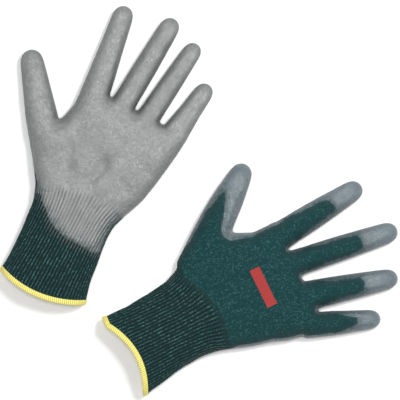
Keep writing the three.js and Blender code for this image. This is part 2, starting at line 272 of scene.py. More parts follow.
def skin(surface, outer, thickness, keep=None, relief=None):
    """A closed skin over a surface: its points, faces, normals, corner UVs and source vertices.

    outer is how far its outside stands off the surface. relief is the part of that which the shading shows.
    """
    faces, corner_uv = surface.faces, surface.corner_uv
    normals = surface.normals
    shading = normals
    if relief is not None:
        shading = vertex_normals(surface.points + normals * relief[:, None], faces)
    if keep is not None:
        chosen = keep[faces].any(axis=1)
        faces, corner_uv = faces[chosen], corner_uv[chosen]
    used, flat = np.unique(faces, return_inverse=True)
    faces = flat.reshape(-1, 4)
    outer = np.broadcast_to(outer, len(surface.points))[used, None]
    base, normals = surface.points[used], normals[used]
    top = base + normals * outer
    low = base + normals * (outer - thickness)
    count = len(used)
    starts = faces.ravel()
    ends = np.roll(faces, -1, axis=1).ravel()
    real = starts != ends
    open_edge = real & ~np.isin(starts * count + ends, (ends * count + starts)[real])
    a, b = starts[open_edge], ends[open_edge]
    rim = np.stack([b, a, a + count, b + count], axis=1)
    rim_uv = np.stack([corner_uv.reshape(-1, 2)[open_edge]] * 4, axis=1)
    lower = faces[:, ::-1] + count
    lower_uv = corner_uv[:, ::-1]
    points = np.concatenate([top, low])
    all_faces = np.concatenate([faces, lower, rim])
    all_uv = np.concatenate([corner_uv, lower_uv, rim_uv])
    return points, all_faces, np.concatenate([shading[used], -normals]), all_uv, np.concatenate([used, used])


def make_piece(name, glove, surface, parts, material):
    """A Blender object from the parts of a skin, with the surface's marks on its vertices."""
    points, faces, normals, corner_uv, source = parts
    corners = faces != np.roll(faces, -1, axis=1)
    counts = corners.sum(axis=1)
    good = counts >= 3
    faces, corners, corner_uv, counts = faces[good], corners[good], corner_uv[good], counts[good]
    mesh = bpy.data.meshes.new(name)
    mesh.vertices.add(len(points))
    mesh.vertices.foreach_set("co", glove.to_frame(points).astype(np.float32).ravel())
    loops = faces[corners]
    mesh.loops.add(len(loops))
    mesh.loops.foreach_set("vertex_index", loops.astype(np.int32))
    mesh.polygons.add(len(faces))
    mesh.polygons.foreach_set("loop_start", np.concatenate([[0], np.cumsum(counts)[:-1]]).astype(np.int32))
    mesh.polygons.foreach_set("use_smooth", np.ones(len(faces), bool))
    uv = mesh.uv_layers.new(name="knit")
    uv.data.foreach_set("uv", corner_uv[corners].astype(np.float32).ravel())
    mesh.update(calc_edges=True)
    place = mesh.attributes.new("place", "FLOAT_VECTOR", "POINT")
    place.data.foreach_set("vector", points.astype(np.float32).ravel())
    for key, values in surface.marks.items():
        mark = mesh.attributes.new(key, "FLOAT", "POINT")
        mark.data.foreach_set("value", values[source].astype(np.float32))
    # How far each vertex faces sideways: the coating darkens with it, as painted shade on the sides that turn
    # away from the light.
    painted_side_shade = mesh.attributes.new("painted_side_shade", "FLOAT", "POINT")
    painted_side_shade.data.foreach_set("value", (1 - np.abs(normals[:, 2])).astype(np.float32))
    mesh.normals_split_custom_set_from_vertices((normals @ glove.turn.T).tolist())
    mesh.materials.append(material)
    piece = bpy.data.objects.new(name, mesh)
    bpy.context.scene.collection.objects.link(piece)
    return piece


# --- the glove's shape ----------------------------------------------------------------------------

# The radius of a fingertip's end over half its width, and how far under mid-height a back begins.
TIP_SHARE = 0.9
BACK_DEPTH = 2.0


class Digit:
    """A finger or thumb: where it starts, which way it points, and how long and wide it is.

    window is how far along the bare part of its back reaches.
    """

    def __init__(self, glove, name):
        self.name = name
        self.label = f"{glove.side}_{name}"
        knuckle, middle = (
            glove.from_frame(np.array(JOINTS[f"{self.label}_{which}"]["pos_m"]))
            for which in ("knuckle", "middle_joint")
        )
        self.knuckle = knuckle[:2]
        self.middle = float(np.linalg.norm((middle - knuckle)[:2]))
        self.along = (middle - knuckle)[:2] / self.middle
        self.across = np.array([self.along[1], -self.along[0]])
        near = self.place(glove.node_points(f"{self.label}_near_knit"))
        far = self.place(glove.node_points(f"{self.label}_far_knit"))
        self.half = float(np.abs(near[:, 0]).max())
        self.length = float(far[:, 1].max())
        last = far[:, 1] > self.length - self.half
        self.tip = TIP_SHARE * float(np.abs(far[last][:, 0]).max())
        coat = glove.node_points(f"{self.label}_far_coat")
        back = (coat[:, 2] - glove.level) * glove.palm < -BACK_DEPTH
        spot = self.place(coat[back])
        self.window = float(spot[np.abs(spot[:, 0]) < self.half][:, 1].min())

    def place(self, points):
        """How far points lie across the digit, and along it from its knuckle."""
        offset = points[..., :2] - self.knuckle
        return np.stack([offset @ self.across, offset @ self.along], axis=-1)

    def point(self, along, height=0.0):
        """A place on the digit's line, at a distance from its knuckle."""
        return np.array([*(self.knuckle + self.along * along), height])


class Glove:
    """One glove's blown-up shape, worked out from its CAD liner.

    Grids over the outline hold how much of each cell the glove covers (cover), the square of its half
    thickness (swell), the height of its middle (centre), the distance to its edge (edge) and its lumps.
    """

    def __init__(self, side, sizes):
        self.side = side
        self.sizes = sizes
        wrist = JOINTS[f"{side}_wrist_fold"]
        x = -np.array(wrist["axis"])
        self.turn = np.column_stack([x, np.cross(UP, x), UP])
        self.origin = np.array([*wrist["pos_m"][:2], 0.0]) / MM
        knit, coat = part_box(f"{side}_hand_knit"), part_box(f"{side}_palm_coat")
        self.floor = knit[0].z / MM
        self.level = (knit[0].z + knit[1].z) / 2 / MM
        self.palm = 1.0 if coat[1].z + coat[0].z > knit[1].z + knit[0].z else -1.0
        self.digits = [Digit(self, name) for name in DIGITS]
        self.read_outline()
        self.inflate()

    def from_frame(self, points):
        """Points of the shared frame, in the glove's own millimetres."""
        return (points / MM - self.origin) @ self.turn

    def to_frame(self, points):
        """The glove's own millimetres, in the shared frame."""
        return (points @ self.turn.T + self.origin) * MM

    def node_points(self, node):
        """A CAD node's vertices, in the glove's own millimetres."""
        mesh = frame["nodes"][node].data
        points = np.empty(len(mesh.vertices) * 3, np.float32)
        mesh.vertices.foreach_get("co", points)
        return self.from_frame(points.reshape(-1, 3).astype(float))

    def node_triangles(self, node):
        """A CAD node's triangles, seen from above."""
        mesh = frame["nodes"][node].data
        mesh.calc_loop_triangles()
        corners = np.empty(len(mesh.loop_triangles) * 3, np.int32)
        mesh.loop_triangles.foreach_get("vertices", corners)
        return self.node_points(node)[corners.reshape(-1, 3)][:, :, :2]

    def read_outline(self):
        """Draws the liner, seen from above, on the grid: how much of each cell it covers."""
        fine_steps = 3
        margin = 9.0
        step = self.sizes.grid / fine_steps
        fabric = ("_knit", "_rib", "_binding")
        nodes = [n for n in frame["nodes"] if n.startswith(self.side) and n.endswith(fabric)]
        triangles = np.concatenate([self.node_triangles(n) for n in nodes])
        low = triangles.min(axis=(0, 1)) - margin
        high = triangles.max(axis=(0, 1)) + margin
        self.low = low
        columns, rows = (int((high[i] - low[i]) / self.sizes.grid) * fine_steps for i in (0, 1))
        drawn = np.zeros((rows, columns), bool)
        for a, b, c in (triangles - low) / step - 0.5:
            x0, y0 = np.ceil(np.minimum(np.minimum(a, b), c)).astype(int)
            x1, y1 = np.floor(np.maximum(np.maximum(a, b), c)).astype(int) + 1
            if x1 <= x0 or y1 <= y0:
                continue
            y, x = np.mgrid[y0:y1, x0:x1]
            sides = [
                (q[0] - p[0]) * (y - p[1]) - (q[1] - p[1]) * (x - p[0])
                for p, q in ((a, b), (b, c), (c, a))
            ]
            inside = (np.minimum.reduce(sides) >= 0) | (np.maximum.reduce(sides) <= 0)
            drawn[y0:y1, x0:x1] |= inside
        drawn = self.close_gaps(drawn)
        self.read_hem()
        self.run_past_hem(drawn, step)
        blocks = drawn.reshape(rows // fine_steps, fine_steps, columns // fine_steps, fine_steps)
        coarse = blocks.mean(axis=(1, 3))
        edge_blur = 1.3
        self.cover = blur(coarse, edge_blur)
        across, along = (low[i] + (np.arange(coarse.shape[1 - i]) + 0.5) * self.sizes.grid for i in (0, 1))
        self.cells = np.stack(np.meshgrid(across, along), axis=-1)

    @staticmethod
    def close_gaps(drawn, reach=2):
        """Closes the clearances between the pieces."""
        for join in (np.logical_or, np.logical_and):
            for axis in (0, 1):
                drawn = join.reduce([np.roll(drawn, i, axis) for i in range(-reach, reach + 1)])
        return drawn

    def read_hem(self):
        """The hem's line: a curve that gives its distance along the hand at each place across it."""
        hem = self.node_points(f"{self.side}_hem_binding")
        x, y = hem[:, 0], hem[:, 1]
        window = 4.0
        windows = (np.abs(x - middle) < window for middle in x)
        spots = [(x[near].mean(), y[near].min()) for near in windows]
        self.hem_curve = np.polyfit(*np.array(spots).T, 2)
        self.hem_span = (float(x.min()), float(x.max()))
        self.hem_y = float(self.hem_line(np.mean(self.hem_span)))

    def run_past_hem(self, drawn, step):
        """Carries the cuff on past its hem, so that it isn't pinched there."""
        above_hem = 16.0
        start = int((self.hem_y + above_hem - self.low[1]) / step)
        inside = np.flatnonzero(drawn[start])
        left, right = inside[0], inside[-1]
        most = 1
        for row in range(start, -1, -1):
            inside = np.flatnonzero(drawn[row])
            if len(inside):
                left = inside[0] if abs(inside[0] - left) <= most else left
                right = inside[-1] if abs(inside[-1] - right) <= most else right
            drawn[row, left : right + 1] = True

    def inflate(self):
        """Solves for a soft, blown-up thickness over the outline."""
        spacing = self.sizes.grid
        edge_grip = 4.0
        screening = 1 / self.sizes.fullness**2 + (1 - self.cover) * edge_grip
        push = 2 * self.cover * spacing**2
        below = 4 + spacing**2 * screening
        height = self.cover * self.sizes.fullness**2
        around = np.zeros_like(height)
        solver_rounds = 700
        for _ in range(solver_rounds):
            around[1:-1, 1:-1] = height[2:, 1:-1] + height[:-2, 1:-1] + height[1:-1, 2:] + height[1:-1, :-2]
            around[0, 1:-1] = 2 * height[1, 1:-1] + height[0, 2:] + height[0, :-2]
            height = (around + push) / below
        self.swell = height - np.median(height[np.abs(self.cover - 0.5) < 0.1])
        ridge = self.sizes.plumpness * np.sqrt(np.maximum(self.swell, 0))
        reach = 6.0 / spacing
        sag = 0.98
        centre = sag * blur(ridge**2, reach) / np.maximum(blur(ridge, reach), 1e-3)
        self.centre = blur(centre, 1.5) + self.floor
        self.edge = blur(distance_inside(self.cover > 0.5, spacing), 1.0)
        self.relief = self.draw_relief()

    def sample(self, grid, points):
        """A grid's value at points, between its cells."""
        cells = (points[..., :2] - self.low) / self.sizes.grid - 0.5
        column = np.clip(cells[..., 0], 0, grid.shape[1] - 1.001)
        row = np.clip(cells[..., 1], 0, grid.shape[0] - 1.001)
        i, j = row.astype(int), column.astype(int)
        a, b = row - i, column - j
        lower = grid[i, j] * (1 - b) + grid[i, j + 1] * b
        upper = grid[i + 1, j] * (1 - b) + grid[i + 1, j + 1] * b
        return lower * (1 - a) + upper * a

    def outside(self, points):
        """About how far points lie outside the glove's shape. It is negative inside."""
        roundness = 0.9
        hem_lift = 1.0
        centre = self.sample(self.centre, points)
        height = points[..., 2] - centre
        lift = (height - self.sample(self.relief, points) * ease(height, -1, 4)) / self.sizes.plumpness
        swell = self.sample(self.swell, points)
        full = 2 * self.sizes.fullness**2
        edge_slope = np.clip(1 - swell / full, 0.04, 1) * 2 * full
        side = (lift**2 - swell) / np.sqrt(4 * lift**2 + edge_slope)
        under = self.floor + hem_lift * ease(self.hem_y - points[..., 1], -34, -4) - points[..., 2]
        return 0.5 * (side + under + np.sqrt((side - under) ** 2 + roundness**2))

    def slope(self, points, reach=0.12):
        """The gradient of outside, which points out of the glove."""
        steps = reach * np.eye(3)
        moved = [self.outside(points + step) - self.outside(points - step) for step in steps]
        return np.stack(moved, axis=-1) / (2 * reach)

    def normals(self, points):
        slope = self.slope(points)
        return slope / np.maximum(np.linalg.norm(slope, axis=-1, keepdims=True), 1e-9)

    def settle(self, points, rounds=4):
        """Moves points onto the glove's shape."""
        least_slope = 0.05
        longest = 1.5
        for _ in range(rounds):
            slope = self.slope(points)
            share = self.outside(points) / np.maximum((slope**2).sum(axis=-1), least_slope)
            points = points - np.clip(share, -longest, longest)[..., None] * slope
        return points

    def cast(self, centres, directions, reach):
        """The first place on the glove's shape from each centre along each direction."""
        steps = np.arange(0, reach + 1, 0.5)
        shape = directions.shape[:-1]
        centres = np.broadcast_to(centres, directions.shape).reshape(-1, 3)
        directions = directions.reshape(-1, 3)
        values = np.stack([self.outside(centres + s * directions) for s in steps])
        out = values > 0
        out[-1] = True
        first = np.maximum(out.argmax(axis=0), 1)
        low, high = steps[first - 1], steps[first]
        halvings = 12
        for _ in range(halvings):
            half = (low + high) / 2
            past = self.outside(centres + half[:, None] * directions) > 0
            low, high = np.where(past, low, half), np.where(past, half, high)
        return (centres + ((low + high) / 2)[:, None] * directions).reshape(*shape, 3)

    def hem_line(self, x):
        """How far along the hand the hem lies, at places across it."""
        return np.polyval(self.hem_curve, np.clip(x, *self.hem_span))

    def rib_end(self, x):
        """Where the ribs give way to the hand's plain knit: a line that arches over the wrist."""
        left, right = self.hem_span
        t = np.clip((x - left) / (right - left), 0, 1)
        return 16.0 + 5.0 * t + 46.0 * t * (1 - t)

    def draw_relief(self):
        """Soft lumps and folds on the upper side, as a height over the outline."""
        flat = np.concatenate([self.cells.reshape(-1, 2), np.zeros((self.cells[..., 0].size, 1))], axis=1)
        lumps = self.sizes.lumps * (waves(flat, 26.0, 3) + 0.45 * waves(flat, 11.0, 4))
        x, y = flat[:, 0], flat[:, 1]
        for (x0, y0), (x1, y1), width, depth in self.folds():
            line = np.array([x1 - x0, y1 - y0])
            length = np.linalg.norm(line)
            line = line / length
            along = (x - x0) * line[0] + (y - y0) * line[1]
            across = (x - x0) * line[1] - (y - y0) * line[0]
            past = np.maximum(np.abs(along - length / 2) - length / 2, 0)
            lumps = lumps - depth * hump(across, width) * hump(past, 1.6 * width)
        return lumps.reshape(self.cells.shape[:2])

    def folds(self):
        """The folds on the upper side: each from one place to another, with its width and depth."""
        if self.palm > 0:
            return [
                ((3.0, 52.0), (0.0, 38.0), 5.5, 3.2),
                ((-26.0, 48.0), (-22.0, 38.0), 6.5, 3.0),
                ((14.0, 53.0), (14.0, 40.0), 7.0, -1.2),
                ((-46.0, 62.0), (-30.0, 30.0), 5.0, 0.8),
                ((-36.0, 80.0), (-22.0, 62.0), 6.0, 0.5),
            ]
        return [
            ((-38.0, 50.0), (-24.0, 30.0), 4.0, 0.7),
            ((-44.0, 58.0), (-34.0, 66.0), 3.0, 0.6),
            ((30.0, 92.0), (33.0, 70.0), 5.0, 0.5),
        ]


# --- where the coating lies -----------------------------------------------------------------------

# How far the coating's skin goes on under the yarn past its border.
COAT_EDGE = 1.2
# A piece laps its neighbour by SEAM_LAP, and dips under it by SEAM_DIP within SEAM_RUN.
SEAM_DIP = 0.35
SEAM_LAP = 1.5
SEAM_RUN = 1.2
# The thumb's web: how far the coating goes below its knuckle, how far across, and how round its corners are.
WEB_BELOW = 9.0
WEB_ACROSS = 17.0
WEB_ROUND = 5.0
THUMB_ROUND = 6.0
# The width of the coating that shows round the back of each digit.
BACK_BANDS = {"thumb": 4.0, "index": 4.5, "middle": 4.0, "ring": 4.5, "little": 5.5}


def smooth_max(a, b, roundness):
    """The larger of two values, with a rounded corner where they cross."""
    return 0.5 * (a + b + np.sqrt((a - b) ** 2 + roundness**2))


def palm_side(glove, points):
    """True on the palm's side of the glove's widest line."""
    return (points[..., 2] - glove.sample(glove.centre, points)) * glove.palm > 0


def wobble(points, height=0.3):
    """The unevenness of the coating's border."""
    return height * (0.6 * waves(points, 16.0, 9) + 0.4 * waves(points, 4.0, 10))


def hand_coat(glove, points):
    """How far the coating reaches past points of the hand or cuff. It is negative on the bare liner."""
    x, y = points[:, 0], points[:, 1]
    edge = glove.sample(glove.edge, points)
    cuff_band, side_band = -0.3, 3.2
    band = mix(cuff_band, side_band, ease(y, 18, 34)) + crotch_band(glove, points)
    on_palm = palm_side(glove, points)
    round_side = band + wobble(points) + np.where(on_palm, edge, -edge)
    across_thumb, along_thumb = glove.digits[0].place(points).T
    limits = smooth_max(-WEB_BELOW - along_thumb, across_thumb - WEB_ACROSS, WEB_ROUND)
    web = -smooth_max(thumb_border(along_thumb) - across_thumb, limits, WEB_ROUND)
    round_side = np.where(on_palm, round_side, smooth_max(round_side, web, THUMB_ROUND))
    left, right = glove.hem_span
    across = left + (right - left) * np.array([0, 0.1, 0.25, 0.5, 0.75, 0.9, 1])
    heel_line = [6.0, -2.0, -12.0, -18.0, -17.5, -14.0, -9.0]
    heel = np.interp(x, across, heel_line)
    return np.minimum(round_side, y - heel + wobble(points, 0.8))


def crotch_band(glove, points):
    """How much wider the coating is between the thumb and the index finger."""
    crotch = glove.digits[0].point(12.0)[:2] + np.array([14.0, 0.0])
    extra, spread = 7.0, 13.0
    return extra * hump(np.hypot(points[:, 0] - crotch[0], points[:, 1] - crotch[1]), spread)


def thumb_border(along):
    """Where the bare back of the thumb ends, across the thumb, on the side of the index finger."""
    return np.interp(along, [-25, -11, 2, 15, 25], [40, 11, 5.9, -0.3, -3])


def digit_coat(glove, digit, points):
    """How far the coating reaches past points of a digit, which has a bare window on its back."""
    place = digit.place(points)
    edge = glove.sample(glove.edge, points)
    base_band = 2.5
    window_curve = 2.0
    band = mix(base_band, BACK_BANDS[digit.name], ease(place[:, 1], 0, 18)) + wobble(points, 0.35)
    band = band + crotch_band(glove, points)
    lean = window_curve * (place[:, 0] / digit.half) ** 2
    back = smooth_max(band - edge, place[:, 1] + lean - digit.window + wobble(points, 0.4), 3.0)
    if digit.name == "thumb":
        back = smooth_max(back, place[:, 0] - thumb_border(place[:, 1]), THUMB_ROUND)
    return np.where(palm_side(glove, points), band + edge, back)


def coat_rise(glove, distance):
    """The coating's height over the liner. Past its edge it dips under the yarn, where it isn't seen."""
    return mix(-SEAM_DIP, glove.sizes.coat, ease(distance, -COAT_EDGE, 3 * COAT_EDGE))


# --- the pieces' surfaces -------------------------------------------------------------------------

# How far past a knuckle the hand's shape is cleared away, and how much wider than the digit.
CLEARED = 30.0
SIDE_MARGIN = 2.5
# The points in each ring round a digit.
RING_POINTS = 72


def dip_past(distance):
    """How far a piece dips under its neighbour, past the seam between them."""
    return -SEAM_DIP * ease(distance, 0.0, SEAM_RUN)


def beside(digit, place):
    """True in the strip that a digit stands in."""
    return np.abs(place[:, 0]) < digit.half + SIDE_MARGIN


def hand_surface(glove):
    """The hand between the ribs and the knuckles."""
    voxel = glove.sizes.voxel
    cuff_end = 8.0
    low = np.array([glove.low[0], cuff_end, glove.floor - 3])
    tops = [digit.point(6.0)[1] for digit in glove.digits]
    across = glove.low[0] + glove.cover.shape[1] * glove.sizes.grid
    high = np.array([across, max(tops), 2 * glove.centre.max() + 4])
    axes = [np.arange(low[i], high[i], voxel) for i in range(3)]
    grid = np.stack(np.meshgrid(*axes, indexing="ij"), axis=-1)
    cells = openvdb.FloatGrid(5.0)
    cells.copyFromArray(glove.outside(grid).astype(np.float32))
    points, quads = cells.convertToQuads(0.0)
    points = glove.settle(np.array(points, float) * voxel + low)
    faces = np.array(quads)
    inside = points[:, 1] > glove.rib_end(points[:, 0]) - 4
    for digit in glove.digits:
        place = digit.place(points)
        past = (place[:, 1] > SEAM_LAP + 0.6) & (place[:, 1] < CLEARED + SEAM_LAP)
        inside &= ~(beside(digit, place) & past)
    faces = faces[inside[faces].all(axis=1)]
    faces = largest_part(faces, len(points))
    used, flat = np.unique(faces, return_inverse=True)
    points, faces = points[used], flat.reshape(-1, 4)
    normals = glove.normals(points)
    bend = np.clip(normals[:, 0], -1, 1)
    edge_radius = 9.0
    across = points[:, 0] + edge_radius * (np.arcsin(bend) - bend)
    uv = np.stack([across, points[:, 1]], axis=1)
    surface = Surface(points, faces, uv[faces], normals)
    for digit in glove.digits:
        place = digit.place(points)
        near = beside(digit, place) & (place[:, 1] < CLEARED)
        surface.seam = np.where(near, np.maximum(surface.seam, place[:, 1]), surface.seam)
    surface.seam = np.maximum(surface.seam, glove.rib_end(points[:, 0]) - points[:, 1])
    mark_coat(surface, hand_coat(glove, points))
    return surface


def mark_coat(surface, reach, crest=1.0, feather=1.0):
    """Marks the coating's reach and its cover, which feather stretches out, and the crests of the ribs."""
    surface.marks["coat_reach"] = reach
    surface.marks["coat_cover"] = feather * reach
    surface.marks["crest"] = crest * np.ones(len(reach))


def largest_part(faces, count):
    """The faces of the largest connected part."""
    label = np.arange(count)
    while True:
        low = label[faces].min(axis=1)
        new = label.copy()
        for i in range(4):
            np.minimum.at(new, faces[:, i], low)
        new = new[new]
        if (new == label).all():
            break
        label = new
    names, sizes = np.unique(label[faces[:, 0]], return_counts=True)
    return faces[label[faces[:, 0]] == names[sizes.argmax()]]


def ring_directions(digit):
    """Directions round the digit, from its upper side."""
    angles = np.linspace(0, 2 * np.pi, RING_POINTS, endpoint=False)
    across = np.array([*digit.across, 0.0])
    return np.sin(angles)[:, None] * across + np.cos(angles)[:, None] * UP


def digit_rings(glove, digit, alongs):
    """Rings of points round the digit at distances along it."""
    across = np.array([*digit.across, 0.0])
    centres = np.array([digit.point(a) for a in alongs])
    centres[:, 2] = glove.sample(glove.centre, centres)
    directions = np.broadcast_to(ring_directions(digit), (len(alongs), RING_POINTS, 3))
    rings = glove.cast(centres[:, None], directions, 1.6 * digit.half)
    side = rings @ across - centres[:, None] @ across
    wall = digit.half + 0.5
    over = np.clip(np.abs(side) / wall, 1, None)
    return centres[:, None] + (rings - centres[:, None]) / over[..., None]


def tip_rings(glove, digit):
    """Rings over the digit's rounded end, and the point at its end."""
    along = np.array([*digit.along, 0.0])
    around = ring_directions(digit)
    rise = np.radians(np.linspace(0, 84, 13))[1:, None, None]
    centre = digit.point(digit.length - digit.tip)
    centre[2] = glove.sample(glove.centre, centre)
    directions = np.cos(rise) * around + np.sin(rise) * along
    rings = glove.cast(centre, directions, 1.6 * digit.half)
    pole = glove.cast(centre, along[None], 1.6 * digit.half)
    return rings, pole


def digit_surface(glove, digit, part):
    """The near or the far part of a digit."""
    if part == "near":
        alongs = np.arange(-SEAM_LAP, digit.middle + SEAM_LAP + 0.01, 0.9)
        rings = digit_rings(glove, digit, alongs)
    else:
        alongs = np.linspace(digit.middle - SEAM_LAP, digit.length - digit.tip, 34)
        rings = digit_rings(glove, digit, alongs)
        over, pole = tip_rings(glove, digit)
        rings = np.concatenate([rings, over])
    lengths = arc_lengths(rings)
    mean = rings.mean(axis=1)
    steps = np.linalg.norm(np.diff(mean, axis=0), axis=1)
    middle_line = np.concatenate([[0], np.cumsum(steps)]) + alongs[0]
    along = np.repeat(middle_line[:, None], rings.shape[1], axis=1)
    surface = woven(rings, glove.normals(rings), lengths, along)
    if part == "far":
        surface = add_pole(surface, rings.shape[1], pole, glove)
    place = digit.place(surface.points)[:, 1]
    surface.seam = np.maximum(-place, place - digit.middle) if part == "near" else digit.middle - place
    mark_coat(surface, digit_coat(glove, digit, surface.points))
    return surface


def add_pole(surface, columns, pole, glove):
    """Closes the last ring of a surface with a fan about one more point."""
    count = len(surface.points)
    last = np.arange(count - columns, count)
    after = np.roll(last, -1)
    lookup = np.zeros((count, 2))
    lookup[surface.faces.ravel()] = surface.corner_uv.reshape(-1, 2)
    pole_uv = lookup[last]
    whole = np.concatenate([surface.points, pole])
    outward = np.cross(whole[after] - whole[last], pole - whole[last])
    if (outward * (pole - surface.points.mean(axis=0))).sum() < 0:
        last, after = after, last
    top = np.full(columns, count)
    faces = np.concatenate([surface.faces, np.stack([last, after, top, top], axis=1)])
    fan_uv = np.stack([lookup[last], lookup[after], pole_uv, pole_uv], axis=1)
    corner_uv = np.concatenate([surface.corner_uv, fan_uv])
    normals = np.concatenate([surface.normals, glove.normals(pole)])
    return Surface(whole, faces, corner_uv, normals)


def cuff_sections(glove, columns):
    """The cuff's cross-sections, each with evenly spaced points from the middle of its upper side."""
    alongs = np.arange(glove.hem_y - 9, 46.0, 1.5)
    left, right = glove.hem_span
    aspect = 4.0
    angles = np.linspace(0, 2 * np.pi, 360, endpoint=False)
    around = np.stack([aspect * np.sin(angles), 0 * angles, np.cos(angles)], axis=1)
    around /= np.linalg.norm(around, axis=1)[:, None]
    centres = np.array([[(left + right) / 2, y, 0] for y in alongs])
    centres[:, 2] = glove.sample(glove.centre, centres)
    rings = glove.cast(centres[:, None], np.broadcast_to(around, (len(alongs), *around.shape)), right - left)
    lengths = arc_lengths(rings)
    closed = np.concatenate([rings, rings[:, :1]], axis=1)
    table = np.empty((len(alongs), columns, 3))
    for i, (ring, length) in enumerate(zip(closed, lengths)):
        wanted = np.linspace(0, length[-1], columns, endpoint=False)
        for axis in range(3):
            table[i, :, axis] = np.interp(wanted, length, ring[:, axis])
    return alongs, table


def cuff_grid(glove, shares, columns, drop=0.0):
    """Points on the cuff at shares of the way from its hem's line to the end of its ribs."""
    alongs, table = cuff_sections(glove, columns)
    x = np.broadcast_to(table[len(table) // 2, :, 0], (len(shares), columns)).copy()
    column = np.arange(columns)
    for _ in range(5):
        hem, end = glove.hem_line(x) + drop, glove.rib_end(x)
        y = mix(hem, end, shares[:, None])
        spot = np.clip((y - alongs[0]) / (alongs[1] - alongs[0]), 0, len(alongs) - 1.001)
        low = spot.astype(int)
        part = (spot - low)[..., None]
        points = table[low, column] * (1 - part) + table[low + 1, column] * part
        x = points[..., 0]
    return points


def cuff_surface(glove):
    """The ribbed cuff, with its ribs in the surface's relief."""
    samples = 6
    sizes = glove.sizes
    table = cuff_sections(glove, 360)[1]
    third = len(table) // 3
    girth = arc_lengths(table[third : third + 1])[0, -1]
    ribs = int(round(girth / sizes.rib_pitch))
    columns = ribs * samples
    length = glove.rib_end(0) - glove.hem_line(0)
    shares = np.arange(1.0, length + SEAM_LAP, 0.9) / length
    points = glove.settle(cuff_grid(glove, shares, columns), 2)
    normals = glove.normals(points)
    drift = 0.25 * waves(points.reshape(-1, 3), 18.0, 12).reshape(points.shape[:2])
    phase = 2 * np.pi * (np.arange(columns) / samples)[None] + drift
    crest = (0.5 + 0.5 * np.cos(phase)) ** 0.7
    fade = 1 - ease(shares, 0.9, 1.0)[:, None]
    steps = np.linalg.norm(np.diff(points, axis=0), axis=2).mean(axis=1)
    along = np.repeat(steps.cumsum()[:, None], columns, axis=1)
    along = np.concatenate([along[:1] * 0, along])
    across = np.repeat(np.linspace(0, ribs * sizes.rib_pitch, columns + 1)[None], len(shares), axis=0)
    surface = woven(points, normals, across, along)
    surface.relief = (sizes.rib_depth * (crest - 0.6) * fade).ravel()
    surface.seam = np.repeat((shares - 1) * length, columns)
    crest = mix(0.6, crest, fade).ravel()
    reach = hand_coat(glove, surface.points) + 2.2 * (crest - 0.7)
    mark_coat(surface, reach, crest, feather=0.6)
    return surface


def hem_surface(glove):
    """The overlocked hem: a rounded band sewn over the cuff's edge."""
    columns = 560
    sections = 18
    half_width = glove.sizes.hem_height / 2
    half_thick = 1.25
    sunk = 0.45
    stitch_pitch = 1.7
    clearance = 0.02
    base = glove.settle(cuff_grid(glove, np.zeros(1), columns, drop=half_width - 0.4), 2)[0]
    normals = glove.normals(base)
    ahead = np.roll(base, -1, axis=0) - np.roll(base, 1, axis=0)
    ahead /= np.linalg.norm(ahead, axis=1)[:, None]
    up = np.cross(normals, ahead)
    up *= np.sign(up[:, 1:2])
    angles = np.linspace(0, 2 * np.pi, sections, endpoint=False)
    squareness = 0.75
    cos, sin = (np.sign(f) * np.abs(f) ** squareness for f in (np.cos(angles), np.sin(angles)))
    girth = arc_lengths(base[None])[0]
    twist = 2 * np.pi * girth[:-1][:, None] / stitch_pitch + 1.6 * cos[None]
    bulge = 1 + 0.02 * np.cos(twist)
    lift = half_thick * bulge * sin[None] - sunk
    sideways = up[:, None] * (half_width * cos)[None, :, None]
    points = base[:, None] + sideways + normals[:, None] * lift[..., None]
    points[..., 2] = np.maximum(points[..., 2], clearance)
    i = np.arange(columns)[:, None]
    j = np.arange(sections)[None]
    k, n = (i + 1) % columns, (j + 1) % sections
    faces = np.stack([i * sections + j, i * sections + n, k * sections + n, k * sections + j], axis=2)
    faces = faces.reshape(-1, 4)
    band = np.linspace(0, 4 * (half_width + half_thick), sections + 1)
    grid = np.stack(np.broadcast_arrays(girth[:, None], band[None]), axis=-1)
    uv = np.stack([grid[:-1, :-1], grid[:-1, 1:], grid[1:, 1:], grid[1:, :-1]], axis=2).reshape(-1, 4, 2)
    outward = (points - base[:, None] + sunk * normals[:, None]).reshape(-1, 3)
    flat = points.reshape(-1, 3)
    facing = vertex_normals(flat, faces)
    facing *= np.sign((facing * outward).sum())
    surface = Surface(flat, faces, uv, facing)
    surface.marks["height"] = np.cos(twist).ravel()
    return surface


def closed_parts(surface):
    """A surface that is closed already, in the form that a skin has."""
    every = np.arange(len(surface.points))
    return surface.points, surface.faces, surface.normals, surface.corner_uv, every


def elastic_surface(glove):
    """The elastic thread: a helix that lies against the inside of the cuff."""
    turns = 4
    columns = 240
    sides = 8
    radius = 0.4
    depth = 2.1
    start, end = 0.12, 0.3
    grid = glove.settle(cuff_grid(glove, np.linspace(start, end, turns + 1), columns), 2)
    share = (np.arange(columns) / columns)[:, None]
    path = np.concatenate([mix(grid[turn], grid[turn + 1], share) for turn in range(turns)])
    normals = glove.normals(path)
    path = path - depth * normals
    ahead = np.gradient(path, axis=0)
    ahead /= np.linalg.norm(ahead, axis=1)[:, None]
    side = np.cross(normals, ahead)
    angles = np.linspace(0, 2 * np.pi, sides, endpoint=False)
    outward = np.cos(angles)[None, :, None] * normals[:, None] + np.sin(angles)[None, :, None] * side[:, None]
    rings = path[:, None] + radius * outward
    along = np.repeat(np.arange(len(path))[:, None] * 0.8, sides, axis=1)
    return woven(rings, outward, arc_lengths(rings), along)


